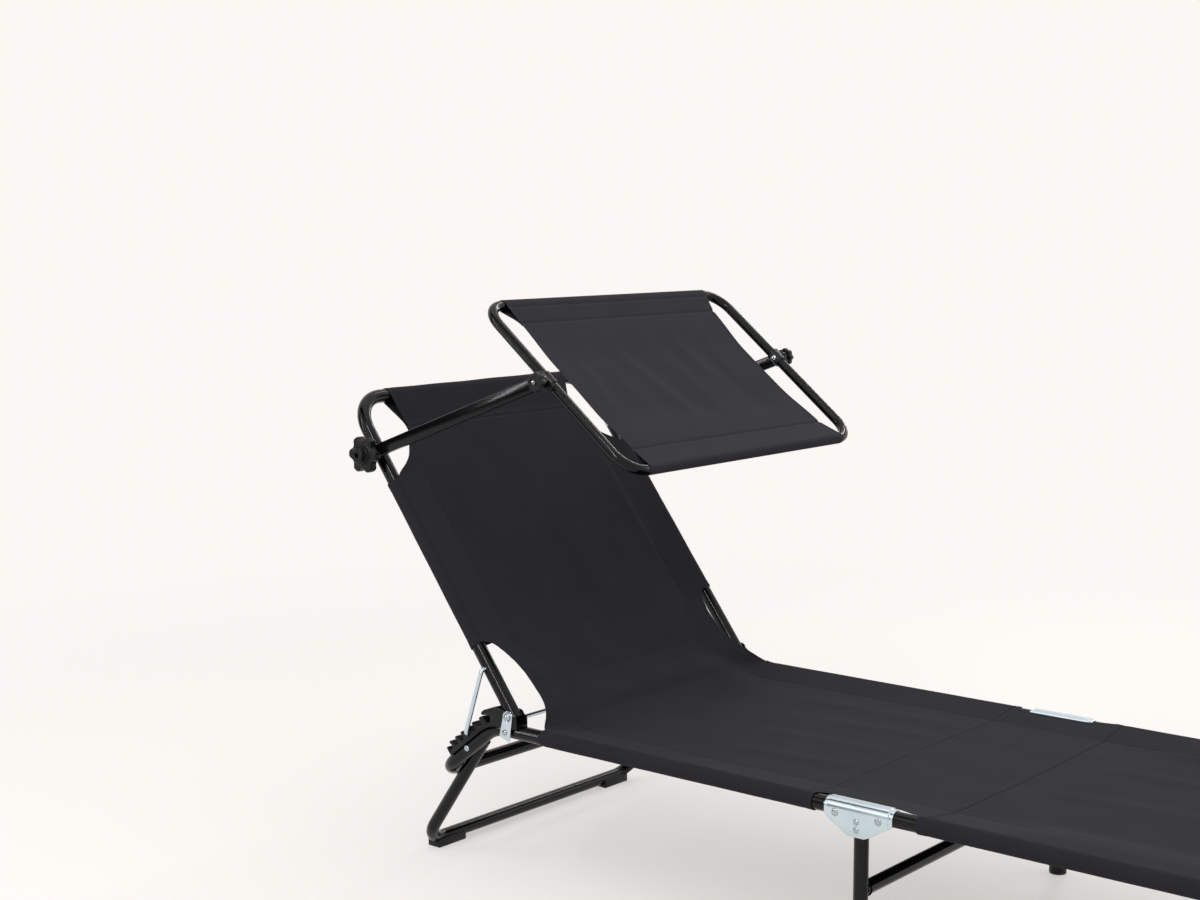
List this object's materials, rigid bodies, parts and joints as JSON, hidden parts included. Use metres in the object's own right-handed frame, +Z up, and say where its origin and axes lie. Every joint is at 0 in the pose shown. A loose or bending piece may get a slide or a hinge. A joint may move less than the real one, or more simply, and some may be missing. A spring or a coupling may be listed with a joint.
{
  "type": "sun lounger with canopy",
  "caption": "Folding steel-tube sun lounger with a reclining cloth backrest, folding legs and a tilting canopy on two knob-clamped arms.",
  "frame": {"origin": "on the floor, under the middle of the whole lounger's length and width", "axes": "+X runs from the head end to the foot end, +Y across the lounger, +Z up"},
  "size_m": [1.6458, 0.6792, 0.8901],
  "materials": {
    "black_enamel_steel": "gloss black powder coat on bent steel tube",
    "zinc_steel": "bright zinc plate, bluish white",
    "black_plastic": "moulded black plastic, satin",
    "sling_cloth": "black woven polyester, matt, fine lengthwise lines",
    "canopy_cloth": "black woven polyester, matt, one layer"
  },
  "bodies": {
    "seat": {"seat_frame": "black_enamel_steel", "seat_sling": "sling_cloth", "hip_sling": "sling_cloth", "knee_sling": "sling_cloth", "recline_rack_near": "black_plastic", "recline_rack_far": "black_plastic", "pivot_strap_near": "zinc_steel", "pivot_strap_far": "zinc_steel", "strap_rivet_near": "zinc_steel", "strap_rivet_far": "zinc_steel", "head_leg_rivet_near": "zinc_steel", "head_leg_rivet_far": "zinc_steel"},
    "pivot_pins": {"pivot_pin_near": "zinc_steel", "pivot_pin_far": "zinc_steel"},
    "backrest": {"backrest_frame": "black_enamel_steel", "backrest_sling": "sling_cloth"},
    "bail": {"bail": "zinc_steel"},
    "canopy_bolts": {"arm_bolt_near": "zinc_steel", "arm_bolt_far": "zinc_steel", "arm_spacer_near": "black_plastic", "arm_spacer_far": "black_plastic"},
    "canopy_arms": {"canopy_arm_near": "black_enamel_steel", "canopy_arm_far": "black_enamel_steel"},
    "canopy": {"canopy_frame": "black_enamel_steel", "canopy_sling": "canopy_cloth", "canopy_saddle_near": "black_plastic", "canopy_saddle_far": "black_plastic", "tilt_bolt_near": "zinc_steel", "tilt_bolt_far": "zinc_steel"},
    "arm_knob_near": {"arm_knob_near": "black_plastic"},
    "arm_knob_far": {"arm_knob_far": "black_plastic"},
    "tilt_knob_near": {"tilt_knob_near": "black_plastic"},
    "tilt_knob_far": {"tilt_knob_far": "black_plastic"},
    "head_leg": {"head_leg": "black_enamel_steel", "head_leg_cap_near": "black_plastic", "head_leg_cap_far": "black_plastic"},
    "mid_leg": {"mid_leg": "black_enamel_steel", "hinge_bracket_near": "zinc_steel", "hinge_bracket_far": "zinc_steel", "seat_hinge_rivet_near": "zinc_steel", "seat_hinge_rivet_far": "zinc_steel", "foot_hinge_rivet_near": "zinc_steel", "foot_hinge_rivet_far": "zinc_steel", "upper_leg_rivet_near": "zinc_steel", "upper_leg_rivet_far": "zinc_steel", "lower_leg_rivet_near": "zinc_steel", "lower_leg_rivet_far": "zinc_steel", "mid_foot_near": "black_plastic", "mid_foot_far": "black_plastic"},
    "foot": {"foot_frame": "black_enamel_steel", "foot_sling": "sling_cloth", "foot_leg_rivet_near": "zinc_steel", "foot_leg_rivet_far": "zinc_steel", "foot_leg_stop_near": "zinc_steel", "foot_leg_stop_far": "zinc_steel"},
    "foot_leg": {"foot_leg": "black_enamel_steel", "foot_leg_cap_near": "black_plastic", "foot_leg_cap_far": "black_plastic"}
  },
  "joints": [
    {"name": "recline", "type": "hinge", "parent": "seat", "child": "pivot_pins", "pos_m": [-0.4655, 0, 0.265], "axis": [0, 1, 0], "range_deg": [-29.02, 0], "deforming": ["hip_sling"]},
    {"name": "backrest_fold", "type": "hinge", "parent": "pivot_pins", "child": "backrest", "pos_m": [-0.4655, 0, 0.265], "axis": [0, 1, 0], "range_deg": [0, 125]},
    {"name": "bail_swing", "type": "hinge", "parent": "backrest", "child": "bail", "pos_m": [-0.5153, 0, 0.3314], "axis": [0, 1, 0], "range_deg": [0, 34.6]},
    {"name": "canopy_hold", "type": "hinge", "parent": "backrest", "child": "canopy_bolts", "pos_m": [-0.7493, 0, 0.6434], "axis": [0, 1, 0], "range_deg": [-192.6, 0]},
    {"name": "canopy_swing", "type": "hinge", "parent": "canopy_bolts", "child": "canopy_arms", "pos_m": [-0.7493, 0, 0.6434], "axis": [0, -1, 0], "range_deg": [-30, 85]},
    {"name": "canopy_tilt", "type": "hinge", "parent": "canopy_arms", "child": "canopy", "pos_m": [-0.39149, 0, 0.77718], "axis": [0, -1, 0], "range_deg": [-35, 60]},
    {"name": "arm_knob_near_turn", "type": "hinge", "parent": "canopy_arms", "child": "arm_knob_near", "pos_m": [-0.7493, 0, 0.6434], "axis": [0, 1, 0], "continuous": true},
    {"name": "arm_knob_far_turn", "type": "hinge", "parent": "canopy_arms", "child": "arm_knob_far", "pos_m": [-0.7493, 0, 0.6434], "axis": [0, 1, 0], "continuous": true},
    {"name": "tilt_knob_near_turn", "type": "hinge", "parent": "canopy_arms", "child": "tilt_knob_near", "pos_m": [-0.39149, 0, 0.77718], "axis": [0, 1, 0], "continuous": true},
    {"name": "tilt_knob_far_turn", "type": "hinge", "parent": "canopy_arms", "child": "tilt_knob_far", "pos_m": [-0.39149, 0, 0.77718], "axis": [0, 1, 0], "continuous": true},
    {"name": "head_leg_fold", "type": "hinge", "parent": "seat", "child": "head_leg", "pos_m": [-0.55459, 0, 0.20016], "axis": [0, -1, 0], "range_deg": [0, 130]},
    {"name": "mid_leg_fold", "type": "hinge", "parent": "seat", "child": "mid_leg", "pos_m": [0.1175, 0, 0.236], "axis": [0, 1, 0], "range_deg": [0, 90], "deforming": ["knee_sling"]},
    {"name": "foot_fold", "type": "hinge", "parent": "mid_leg", "child": "foot", "pos_m": [0.1835, 0, 0.236], "axis": [0, 1, 0], "range_deg": [0, 90], "deforming": ["knee_sling"]},
    {"name": "foot_leg_fold", "type": "hinge", "parent": "foot", "child": "foot_leg", "pos_m": [0.7105, 0, 0.24], "axis": [0, 1, 0], "range_deg": [0, 100]}
  ],
  "couplings": [
    {"joint": "bail_swing", "follows": "recline", "ratio": -1.1882},
    {"joint": "canopy_hold", "follows": "backrest_fold", "ratio": -1.54}
  ]
}
